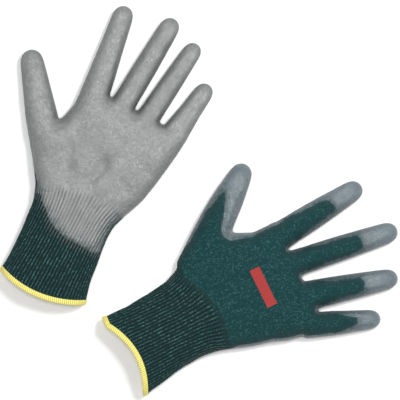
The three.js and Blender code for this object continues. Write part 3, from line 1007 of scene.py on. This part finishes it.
def print_surface(glove):
    """The patch of ink on the back of the hand."""
    width, height = 35.0, 9.0
    spacing = 0.8
    fall = 14.0
    across, along = (np.arange(-extent / 2, extent / 2 + 0.1, spacing) for extent in (width, height))
    x, y = np.meshgrid(across, along)
    bar = glove.node_points(f"{glove.side}_back_print")
    middle = (bar.min(axis=0) + bar.max(axis=0)) / 2
    points = np.stack([middle[0] + x, middle[1] + y], axis=-1)
    heights = glove.sample(glove.centre, points) + fall
    points = np.concatenate([points, heights[..., None]], axis=-1)
    down = np.broadcast_to(-UP, points.shape)
    steps = np.arange(0, fall + 2, 0.25)
    values = np.stack([glove.outside(points + s * down) for s in steps])
    first = (values < 0).argmax(axis=0)
    points = glove.settle(points + steps[first][..., None] * down)
    return woven(points, glove.normals(points), x, y, wrap=False)


# --- shader nodes ---------------------------------------------------------------------------------


class Nodes:
    """Adds nodes to a tree and links their inputs as it goes."""

    def __init__(self, tree):
        self.tree = tree
        self.column = 0

    def add(self, kind, *values, **settings):
        node = self.tree.nodes.new(kind)
        for key, value in settings.items():
            setattr(node, key, value)
        for socket, value in zip(node.inputs, values):
            self.feed(socket, value)
        node.location = (180 * self.column, -160 * (self.column % 3))
        self.column += 1
        return node

    def feed(self, socket, value):
        if isinstance(value, bpy.types.NodeSocket):
            self.tree.links.new(value, socket)
        elif value is not None:
            socket.default_value = value

    def math(self, operation, *values):
        return self.add("ShaderNodeMath", *values, operation=operation).outputs[0]

    def blend(self, share, a, b):
        """A mix of two colours."""
        node = self.add("ShaderNodeMix", data_type="RGBA")
        for socket, value in ((node.inputs[0], share), (node.inputs[6], a), (node.inputs[7], b)):
            self.feed(socket, value)
        return node.outputs[2]

    def ramp(self, value, low, high, out_low=0.0, out_high=1.0):
        """A value's smooth step from low to high."""
        sockets = (value, low, high, out_low, out_high)
        return self.add("ShaderNodeMapRange", *sockets, interpolation_type="SMOOTHSTEP").outputs[0]

    def noise(self, place, scale, detail=2.0, roughness=0.5):
        """Noise in millimetres: scale is its features per millimetre."""
        node = self.add("ShaderNodeTexNoise", noise_dimensions="3D")
        for key, value in (("Vector", place), ("Scale", scale), ("Detail", detail), ("Roughness", roughness)):
            self.feed(node.inputs[key], value)
        return node.outputs[0]

    def attribute(self, name, vector=False):
        return self.add("ShaderNodeAttribute", attribute_name=name).outputs[1 if vector else 2]


def shader_group(name, inputs, outputs):
    """An empty node group: its tree, its nodes' helper, its input sockets by name, and its output node."""
    tree = bpy.data.node_groups.new(name, "ShaderNodeTree")
    for label, kind, default in inputs:
        socket = tree.interface.new_socket(label, in_out="INPUT", socket_type=kind)
        if default is not None:
            socket.default_value = default
    for label, kind in outputs:
        tree.interface.new_socket(label, in_out="OUTPUT", socket_type=kind)
    nodes = Nodes(tree)
    start = nodes.add("NodeGroupInput")
    end = nodes.add("NodeGroupOutput")
    return tree, nodes, start.outputs, end


def knit_group():
    """V-shaped stitches in rows: their height, and a random value for each."""
    tree, n, given, end = shader_group(
        "Knit stitches",
        [
            ("Place", "NodeSocketVector", None),
            ("Across", "NodeSocketFloat", 1.5),
            ("Along", "NodeSocketFloat", 1.2),
        ],
        [("Height", "NodeSocketFloat"), ("Stitch", "NodeSocketFloat")],
    )
    parts = n.add("ShaderNodeSeparateXYZ", given["Place"]).outputs
    column = n.math("DIVIDE", parts[0], given["Across"])
    number = n.math("FLOOR", column)
    side = n.math("SUBTRACT", n.math("SUBTRACT", column, number), 0.5)
    from_middle = n.math("ABSOLUTE", side)
    row = n.math("ADD", n.math("DIVIDE", parts[1], given["Along"]), n.math("MULTIPLY", from_middle, 1.3))
    course = n.math("FLOOR", row)
    from_leg = n.math("MULTIPLY", n.math("SUBTRACT", from_middle, 0.25), 4.0)
    leg = n.math("SUBTRACT", 1.0, n.math("POWER", from_leg, 2.0))
    bow = n.math("SINE", n.math("MULTIPLY", n.math("SUBTRACT", row, course), math.pi))
    height = n.math("MULTIPLY", n.math("MAXIMUM", leg, 0.0), n.math("MULTIPLY_ADD", bow, 0.6, 0.4))
    key = n.add("ShaderNodeCombineXYZ", number, course, n.math("SIGN", side)).outputs[0]
    stitch = n.add("ShaderNodeTexWhiteNoise", key, noise_dimensions="3D").outputs[0]
    n.feed(end.inputs["Height"], height)
    n.feed(end.inputs["Stitch"], stitch)
    return tree


def melange_group():
    """A heather of dark and pale fibres."""
    tree, n, given, end = shader_group(
        "Heather",
        [
            ("Place", "NodeSocketVector", None),
            ("Stitch", "NodeSocketFloat", 0.5),
            ("Yarn", "NodeSocketColor", (0.01, 0.08, 0.07, 1)),
            ("Fleck", "NodeSocketColor", (0.3, 0.4, 0.4, 1)),
            ("Share", "NodeSocketFloat", 0.5),
        ],
        [("Colour", "NodeSocketColor")],
    )
    fibres = n.noise(given["Place"], 1.5, 3.0, 0.9)
    value = n.math("ADD", n.math("MULTIPLY", fibres, 0.66), n.math("MULTIPLY", given["Stitch"], 0.34))
    start = n.math("SUBTRACT", 0.79, n.math("MULTIPLY", given["Share"], 0.5))
    mask = n.ramp(value, start, n.math("ADD", start, 0.35), 0.0, 0.9)
    colour = n.blend(mask, given["Yarn"], given["Fleck"])
    n.feed(end.inputs["Colour"], colour)
    return tree


def pebble_group():
    """The coating's fine pebbled skin: its height, and dark specks in it."""
    tree, n, given, end = shader_group(
        "Pebbled coating",
        [("Place", "NodeSocketVector", None)],
        [("Height", "NodeSocketFloat"), ("Specks", "NodeSocketFloat")],
    )
    fine = n.noise(given["Place"], 0.6, 3.0, 0.6)
    broad = n.noise(given["Place"], 0.32, 2.0, 0.5)
    height = n.math("ADD", n.math("MULTIPLY", fine, 0.75), n.math("MULTIPLY", broad, 0.5))
    specks = n.ramp(n.noise(given["Place"], 0.85, 1.0, 0.4), 0.66, 0.74)
    n.feed(end.inputs["Height"], height)
    n.feed(end.inputs["Specks"], specks)
    return tree


def border_group():
    """Where the coating ends: the yarn darkens before it, and specks of bare yarn go on into it."""
    tree, n, given, end = shader_group(
        "Coating border",
        [
            ("Place", "NodeSocketVector", None),
            ("Reach", "NodeSocketFloat", 0.0),
            ("Knit", "NodeSocketColor", (0.01, 0.08, 0.07, 1)),
            ("Soaked", "NodeSocketColor", (0.01, 0.04, 0.04, 1)),
            ("Coating", "NodeSocketColor", (0.2, 0.2, 0.2, 1)),
        ],
        [("Colour", "NodeSocketColor")],
    )
    drift = n.math("MULTIPLY_ADD", n.noise(given["Place"], 0.3, 2.0, 0.5), 6.0, -3.0)
    grain = n.math("MULTIPLY_ADD", n.noise(given["Place"], 1.3, 3.0, 0.8), 16.0, -8.0)
    soaked = n.ramp(n.math("ADD", given["Reach"], drift), -6.0, -0.5, 0.0, 0.75)
    under = n.blend(soaked, given["Knit"], given["Soaked"])
    reach = n.math("ADD", n.math("ADD", given["Reach"], drift), grain)
    cover = n.ramp(reach, -1.0, 6.0)
    n.feed(end.inputs["Colour"], n.blend(cover, under, given["Coating"]))
    return tree


GROUPS = {}


def group(nodes, maker, **values):
    """A shared group's node, with its inputs."""
    if maker not in GROUPS:
        GROUPS[maker] = maker()
    node = nodes.add("ShaderNodeGroup", node_tree=GROUPS[maker])
    for key, value in values.items():
        nodes.feed(node.inputs[key], value)
    return node.outputs


def new_material(name):
    """A material with its Principled shader, ready for its colour."""
    material = bpy.data.materials.new(name)
    material.use_nodes = True
    nodes = Nodes(material.node_tree)
    shader = next(node for node in material.node_tree.nodes if node.type == "BSDF_PRINCIPLED")
    return material, nodes, shader


def bump(nodes, shader, height, distance, strength=1.0):
    """Gives a shader a bump whose full height is a distance in millimetres."""
    node = nodes.add("ShaderNodeBump")
    for key, value in (("Height", height), ("Distance", distance * MM), ("Strength", strength)):
        nodes.feed(node.inputs[key], value)
    nodes.feed(shader.inputs["Normal"], node.outputs[0])


def rgba(colour_value, gain=1.0):
    """A colour for a socket, made brighter or darker by gain."""
    return (*(min(1.0, c * gain) for c in colour_value), 1.0)


def fabric_of(n):
    """The place on the glove, and the stitches there."""
    place = n.attribute("place", vector=True)
    uv = n.add("ShaderNodeUVMap", uv_map="knit").outputs[0]
    return place, group(n, knit_group, Place=uv)


def heather_of(n, place, stitch, colours):
    """The colour of the hand's yarn."""
    yarn, fleck = rgba(colours.yarn), rgba(colours.fleck)
    return group(n, melange_group, Place=place, Stitch=stitch["Stitch"], Yarn=yarn, Fleck=fleck)["Colour"]


def knit_material(colours):
    """The hand's heathered plain knit, with painted shade in the stitches' hollows, darker where the coating
    has soaked in.
    """
    material, n, shader = new_material("hand_knit")
    place, stitch = fabric_of(n)
    heather = heather_of(n, place, stitch, colours)
    # Painted shade in the stitches' hollows: a darker copy of the yarn.
    valley = n.ramp(stitch["Height"], 0.0, 0.5)
    knit = n.blend(valley, rgba(colours.yarn, 0.28), heather)
    reach = n.attribute("coat_reach")
    specks = rgba(colours.tip_coating, 0.8)
    soaked = rgba(colours.soaked)
    border = group(n, border_group, Place=place, Reach=reach, Knit=knit, Soaked=soaked, Coating=specks)
    colour = border["Colour"]
    n.feed(shader.inputs["Base Color"], colour)
    n.feed(shader.inputs["Roughness"], 0.85)
    n.feed(shader.inputs["Specular IOR Level"], 0.25)
    bump(n, shader, stitch["Height"], 0.35, 0.8)
    return material


def rib_material(colours):
    """The cuff's darker ribbed knit, with painted shade in the ribs' valleys and the stitches' hollows. The
    coating's edge dries pale on its crests.
    """
    material, n, shader = new_material("rib_knit")
    place = n.attribute("place", vector=True)
    uv = n.add("ShaderNodeUVMap", uv_map="knit").outputs[0]
    stitch = group(n, knit_group, Place=uv, Across=1.375)
    crest = n.attribute("crest")
    heather = group(
        n,
        melange_group,
        Place=place,
        Stitch=stitch["Stitch"],
        Yarn=rgba(colours.rib, 1.3),
        Fleck=rgba(colours.fleck, 1.1),
        Share=n.ramp(crest, 0.3, 1.0, 0.25, 0.62),
    )
    # Painted shade in the ribs' valleys and the stitches' hollows: darker copies of the rib yarn.
    colour = n.blend(n.ramp(crest, 0.05, 0.75), rgba(colours.rib, 0.45), heather["Colour"])
    colour = n.blend(n.ramp(stitch["Height"], 0.0, 0.4, 0.5, 0.0), colour, rgba(colours.rib, 0.4))
    reach = n.attribute("coat_reach")
    dried = n.math("MULTIPLY", n.ramp(reach, -4.5, -0.5), n.ramp(crest, 0.55, 0.95))
    colour = n.blend(n.math("MULTIPLY", dried, 0.5), colour, rgba(colours.coating, 0.6))
    n.feed(shader.inputs["Base Color"], colour)
    n.feed(shader.inputs["Roughness"], 0.88)
    n.feed(shader.inputs["Specular IOR Level"], 0.2)
    bump(n, shader, stitch["Height"], 0.3, 0.8)
    return material


def coating_material(colours):
    """The satin polyurethane skin, with the knit showing through it, painted shade in its pebbles' hollows
    and the ribs' valleys, painted highlights on its pebbles' tops, and painted shade on its sides that turn
    away from the light.
    """
    material, n, shader = new_material("coating")
    place, stitch = fabric_of(n)
    pebbles = group(n, pebble_group, Place=place)
    cloud = n.noise(place, 0.07, 3.0, 0.55)
    on_back = n.attribute("on_back")
    base = n.blend(on_back, rgba(colours.coating), rgba(colours.tip_coating))
    base = n.blend(n.ramp(cloud, 0.35, 0.65, 0.0, 0.25), base, rgba(colours.coating, 0.7))
    # Painted shade in the pebbles' hollows, and painted highlights on their tops.
    base = n.blend(n.ramp(pebbles["Height"], 0.45, 0.75, 0.3, 0.0), base, rgba(colours.coating, 0.45))
    base = n.blend(n.ramp(pebbles["Height"], 0.58, 0.8, 0.0, 0.16), base, rgba(colours.coating, 2.0))
    base = n.blend(n.math("MULTIPLY", pebbles["Specks"], 0.55), base, rgba(colours.yarn, 0.6))
    heather = heather_of(n, place, stitch, colours)
    cover = n.attribute("coat_cover")
    soaked = rgba(colours.soaked)
    border = group(n, border_group, Place=place, Reach=cover, Knit=heather, Soaked=soaked, Coating=base)
    base = border["Colour"]
    # Painted shade in the ribs' valleys, where crest is low.
    base = n.blend(n.ramp(n.attribute("crest"), 0.0, 0.7, 0.7, 0.0), base, rgba(colours.coating, 0.28))
    # Painted shade: the sides that turn away from the light go over to darker copies of the coating colours,
    # half as much on the back.
    painted_side_shade = n.ramp(n.attribute("painted_side_shade"), 0.0, 0.8, 0.0, 0.88)
    painted_side_shade = n.math("MULTIPLY", painted_side_shade, n.math("MULTIPLY_ADD", on_back, -0.5, 1.0))
    edge = n.blend(on_back, rgba(colours.coating, 0.25), rgba(colours.tip_coating, 0.4))
    base = n.blend(painted_side_shade, base, edge)
    n.feed(shader.inputs["Base Color"], base)
    n.feed(shader.inputs["Roughness"], n.ramp(pebbles["Height"], 0.4, 0.75, 0.42, 0.24))
    n.feed(shader.inputs["Specular IOR Level"], 0.75)
    height = n.math("ADD", pebbles["Height"], n.math("MULTIPLY", stitch["Height"], 0.3))
    bump(n, shader, height, 0.5, 0.9)
    return material


def thread_material(name, colour_value, shadow, hollow_depth):
    """Thread or elastic: a plain colour with painted shade in its hollows."""
    material, n, shader = new_material(name)
    place = n.attribute("place", vector=True)
    fuzz = n.noise(place, 1.6, 3.0, 0.7)
    dark = n.ramp(n.attribute("height"), -0.9, 0.2, hollow_depth, 0.0)
    colour = n.blend(dark, rgba(colour_value), rgba(shadow))
    colour = n.blend(n.ramp(fuzz, 0.35, 0.6, 0.25, 0.0), colour, rgba(shadow))
    n.feed(shader.inputs["Base Color"], colour)
    n.feed(shader.inputs["Roughness"], 0.8)
    n.feed(shader.inputs["Specular IOR Level"], 0.25)
    bump(n, shader, fuzz, 0.3, 0.7)
    return material


def ink_material(colours):
    """The printed bar: ink that misses some of the yarn's hollows."""
    material, n, shader = new_material("print_ink")
    place, stitch = fabric_of(n)
    patchy = n.ramp(n.noise(place, 0.8, 3.0, 0.7), 0.35, 0.5, 0.5, 0.0)
    miss = n.math("ADD", patchy, n.ramp(stitch["Height"], 0.0, 0.35, 0.6, 0.0))
    colour = n.blend(n.math("MINIMUM", miss, 1.0), rgba(colours.ink), rgba(colours.yarn, 0.7))
    n.feed(shader.inputs["Base Color"], colour)
    n.feed(shader.inputs["Roughness"], 0.7)
    bump(n, shader, stitch["Height"], 0.3, 0.7)
    return material


# --- building -------------------------------------------------------------------------------------

GLOVES = {}
MATERIALS = {}


def glove_of(side):
    """The side's glove, worked out once."""
    if side not in GLOVES:
        GLOVES[side] = Glove(side, bpy.context.scene.glove_sizes)
    return GLOVES[side]


def material_of(name):
    """A material, made once from the scene's colours."""
    colours = bpy.context.scene.glove_colours
    makers = {
        "knit": lambda: knit_material(colours),
        "rib": lambda: rib_material(colours),
        "coat": lambda: coating_material(colours),
        "hem": lambda: thread_material("hem_thread", colours.hem, (0.45, 0.33, 0.03), 0.7),
        "elastic": lambda: thread_material("elastic_thread", (0.75, 0.72, 0.65), (0.5, 0.48, 0.43), 0.0),
        "print": lambda: ink_material(colours),
    }
    if name not in MATERIALS:
        MATERIALS[name] = makers[name]()
    return MATERIALS[name]


# How much of the ribs shows through the coating, and the thickness of the coating's skin.
RIB_TELEGRAPH = 0.75
COAT_SKIN = 0.55
# Where along the hand the wrist bends, and how far past its crease a digit does.
WRIST_BEND = (-10.0, 8.0)
DIGIT_BEND = 13.0
KNUCKLE_ROOM = 2.0


def finish_piece(node):
    """Hides the CAD node that a piece stands in for."""
    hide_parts(node)


def coat_of(glove, surface, name, node):
    """The coating over a surface, as a skin of its own."""
    reach = surface.marks["coat_reach"]
    surface.marks["on_back"] = (~palm_side(glove, surface.points)).astype(float)
    height = coat_rise(glove, reach) + RIB_TELEGRAPH * surface.relief
    parts = skin(surface, height + dip_past(surface.seam), COAT_SKIN, reach > -COAT_EDGE, height)
    piece = make_piece(name, glove, surface, parts, material_of("coat"))
    finish_piece(node)
    return piece


def build_hand(glove):
    """The hand's liner and coating."""
    surface = hand_surface(glove)
    side = glove.side
    parts = skin(surface, dip_past(surface.seam), glove.sizes.wall)
    liner = make_piece(f"{side}_hand_liner", glove, surface, parts, material_of("knit"))
    finish_piece(f"{side}_hand_knit")
    coat = coat_of(glove, surface, f"{side}_hand_coating", f"{side}_palm_coat")
    for piece in (liner, coat):
        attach(piece, f"{side}_hand")


def build_digits(glove):
    """The two halves of every digit."""
    for digit in glove.digits:
        for part in ("near", "far"):
            build_digit(glove, digit, part)


def build_digit(glove, digit, part):
    """Half of a digit."""
    surface = digit_surface(glove, digit, part)
    label = f"{digit.label}_{part}"
    parts = skin(surface, dip_past(surface.seam), glove.sizes.wall)
    liner = make_piece(f"{label}_liner", glove, surface, parts, material_of("knit"))
    finish_piece(f"{label}_knit")
    coat = coat_of(glove, surface, f"{label}_coating", f"{label}_coat")
    for piece in (liner, coat):
        if part == "near":
            ends = digit.point(0.0), digit.point(min(DIGIT_BEND, digit.middle - KNUCKLE_ROOM))
        else:
            ends = digit.point(digit.middle), digit.point(digit.middle + DIGIT_BEND)
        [glove.to_frame(end) for end in ends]
        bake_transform(piece)


def build_cuff(glove):
    """The ribbed cuff and its coating."""
    surface = cuff_surface(glove)
    side = glove.side
    relief = surface.relief
    parts = skin(surface, relief + dip_past(surface.seam), glove.sizes.wall, None, relief)
    liner = make_piece(f"{side}_cuff_ribs", glove, surface, parts, material_of("rib"))
    finish_piece(f"{side}_cuff_rib")
    coat = coat_of(glove, surface, f"{side}_cuff_coating", f"{side}_cuff_coat")
    ends = [glove.to_frame(np.array([0.0, y, glove.level])) for y in WRIST_BEND]
    for piece in (liner, coat):
        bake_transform(piece)


def build_closed(glove, surface, name, node, slot, body):
    """A piece from a surface that is closed already."""
    piece = make_piece(name, glove, surface, closed_parts(surface), material_of(slot))
    finish_piece(node)
    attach(piece, body)


def build_print(glove):
    """The plain printed bar on the back of a hand."""
    surface = print_surface(glove)
    height, thickness = 0.12, 0.5
    parts = skin(surface, height, thickness)
    ink = make_piece(f"{glove.side}_printed_bar", glove, surface, parts, material_of("print"))
    finish_piece(f"{glove.side}_back_print")
    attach(ink, f"{glove.side}_hand")


# --- the stage ------------------------------------------------------------------------------------


def build_floor(scene):
    """A plain pale floor just under the gloves."""
    reach = 6.0
    below = 0.2
    mesh = bpy.data.meshes.new("floor")
    corners = [(-reach, -reach, 0), (reach, -reach, 0), (reach, reach, 0), (-reach, reach, 0)]
    mesh.from_pydata(corners, [], [(0, 1, 2, 3)])
    floor = bpy.data.objects.new("floor", mesh)
    material, nodes, shader = new_material("floor")
    nodes.feed(shader.inputs["Base Color"], (0.96, 0.96, 0.96, 1))
    nodes.feed(shader.inputs["Roughness"], 0.9)
    mesh.materials.append(material)
    scene.collection.objects.link(floor)
    floor.location.z = -below * MM
    floor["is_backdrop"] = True


def build_lights(scene):
    """A soft key from the upper right, and a lamp over the middle."""
    stage = scene.glove_stage
    lamps = [
        ("key", (0.58, 0.48, 1.28), 0.32, stage.key_power),
        ("top", (-0.1, 0.05, 1.7), 0.4, stage.top_power),
    ]
    for name, place, width, power in lamps:
        lamp = bpy.data.lights.new(name, "AREA")
        lamp.shape = "SQUARE"
        lamp.size = width
        lamp.energy = power
        light = bpy.data.objects.new(name, lamp)
        light.location = place
        light.rotation_euler = (-Vector(place)).to_track_quat("-Z", "Y").to_euler()
        scene.collection.objects.link(light)
        light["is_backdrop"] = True
    world = bpy.data.worlds.new("soft_room")
    world.use_nodes = True
    background = world.node_tree.nodes["Background"]
    background.inputs["Color"].default_value = (1, 1, 1, 1)
    background.inputs["Strength"].default_value = stage.room_light
    scene.world = world


def build_camera(scene):
    """A long lens straight above the middle of the pair."""
    stage = scene.glove_stage
    distance = 2.6
    glove_height = 0.01
    lens = bpy.data.cameras.new("camera")
    lens.sensor_width = 36.0
    lens.lens = lens.sensor_width * distance / stage.view_width
    lens.clip_start = 0.1
    lens.clip_end = 10.0
    camera = bpy.data.objects.new("camera", lens)
    camera.location = (0.0, 0.2 * MM, distance + glove_height)
    scene.collection.objects.link(camera)
    scene.camera = camera


# --- the add-on -----------------------------------------------------------------------------------


class GLOVES_OT_hands(bpy.types.Operator):
    """Build each hand's knitted liner and coating"""

    bl_idname = "gloves.hands"
    bl_label = "Build hands"

    def execute(self, context):
        for side in SIDES:
            build_hand(glove_of(side))
        return {"FINISHED"}


class GLOVES_OT_digits(bpy.types.Operator):
    """Build the two parts of each finger and thumb, with their coating"""

    bl_idname = "gloves.digits"
    bl_label = "Build fingers and thumbs"

    def execute(self, context):
        for side in SIDES:
            build_digits(glove_of(side))
        return {"FINISHED"}


class GLOVES_OT_cuffs(bpy.types.Operator):
    """Build the ribbed cuffs, with the coating that runs onto them"""

    bl_idname = "gloves.cuffs"
    bl_label = "Build cuffs"

    def execute(self, context):
        for side in SIDES:
            build_cuff(glove_of(side))
        return {"FINISHED"}


class GLOVES_OT_hems(bpy.types.Operator):
    """Build the overlocked hems"""

    bl_idname = "gloves.hems"
    bl_label = "Build hems"

    def execute(self, context):
        for side in SIDES:
            glove = glove_of(side)
            band = hem_surface(glove)
            build_closed(glove, band, f"{side}_hem", f"{side}_hem_binding", "hem", f"{side}_cuff")
        return {"FINISHED"}


class GLOVES_OT_elastics(bpy.types.Operator):
    """Build the elastic thread inside each cuff"""

    bl_idname = "gloves.elastics"
    bl_label = "Build elastic threads"

    def execute(self, context):
        for side in SIDES:
            glove = glove_of(side)
            thread = elastic_surface(glove)
            build_closed(glove, thread, f"{side}_elastic", f"{side}_cuff_elastic", "elastic", f"{side}_cuff")
        return {"FINISHED"}


class GLOVES_OT_print(bpy.types.Operator):
    """Build the printed bar on the back of the right hand"""

    bl_idname = "gloves.printed_bar"
    bl_label = "Build printed bar"

    def execute(self, context):
        build_print(glove_of("right"))
        return {"FINISHED"}


class GLOVES_OT_stage(bpy.types.Operator):
    """Build the floor, the lights and the camera"""

    bl_idname = "gloves.stage"
    bl_label = "Build stage"

    def execute(self, context):
        build_floor(context.scene)
        build_lights(context.scene)
        build_camera(context.scene)
        context.scene.view_settings.view_transform = "Standard"
        return {"FINISHED"}


OPERATORS = (
    GLOVES_OT_hands,
    GLOVES_OT_digits,
    GLOVES_OT_cuffs,
    GLOVES_OT_hems,
    GLOVES_OT_elastics,
    GLOVES_OT_print,
    GLOVES_OT_stage,
)


class GLOVES_PT_panel(bpy.types.Panel):
    """The gloves' settings, and a button for each group of pieces"""

    bl_idname = "GLOVES_PT_panel"
    bl_label = "Cut Resistant Gloves"
    bl_space_type = "VIEW_3D"
    bl_region_type = "UI"
    bl_category = "Gloves"

    def draw(self, context):
        scene = context.scene
        for title, settings in (
            ("Sizes", scene.glove_sizes),
            ("Colours", scene.glove_colours),
            ("Stage", scene.glove_stage),
        ):
            box = self.layout.box()
            box.label(text=title)
            for name in settings.__annotations__:
                box.prop(settings, name)
        for operator in OPERATORS:
            self.layout.operator(operator.bl_idname)


CLASSES = (GloveSizes, GloveColours, GloveStage, *OPERATORS, GLOVES_PT_panel)


def register():
    for kind in CLASSES:
        bpy.utils.register_class(kind)
    bpy.types.Scene.glove_sizes = bpy.props.PointerProperty(type=GloveSizes)
    bpy.types.Scene.glove_colours = bpy.props.PointerProperty(type=GloveColours)
    bpy.types.Scene.glove_stage = bpy.props.PointerProperty(type=GloveStage)


def unregister():
    del bpy.types.Scene.glove_stage
    del bpy.types.Scene.glove_colours
    del bpy.types.Scene.glove_sizes
    for kind in reversed(CLASSES):
        bpy.utils.unregister_class(kind)


def main():
    register()
    for build in OPERATORS:
        group_name, action = build.bl_idname.split(".")
        getattr(getattr(bpy.ops, group_name), action)()
    boxes = {"start": CAD_BOX, "end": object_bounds()}
    boxes = {name: [list(corner) for corner in box] for name, box in boxes.items()}


if __name__ == "__main__":
    main()
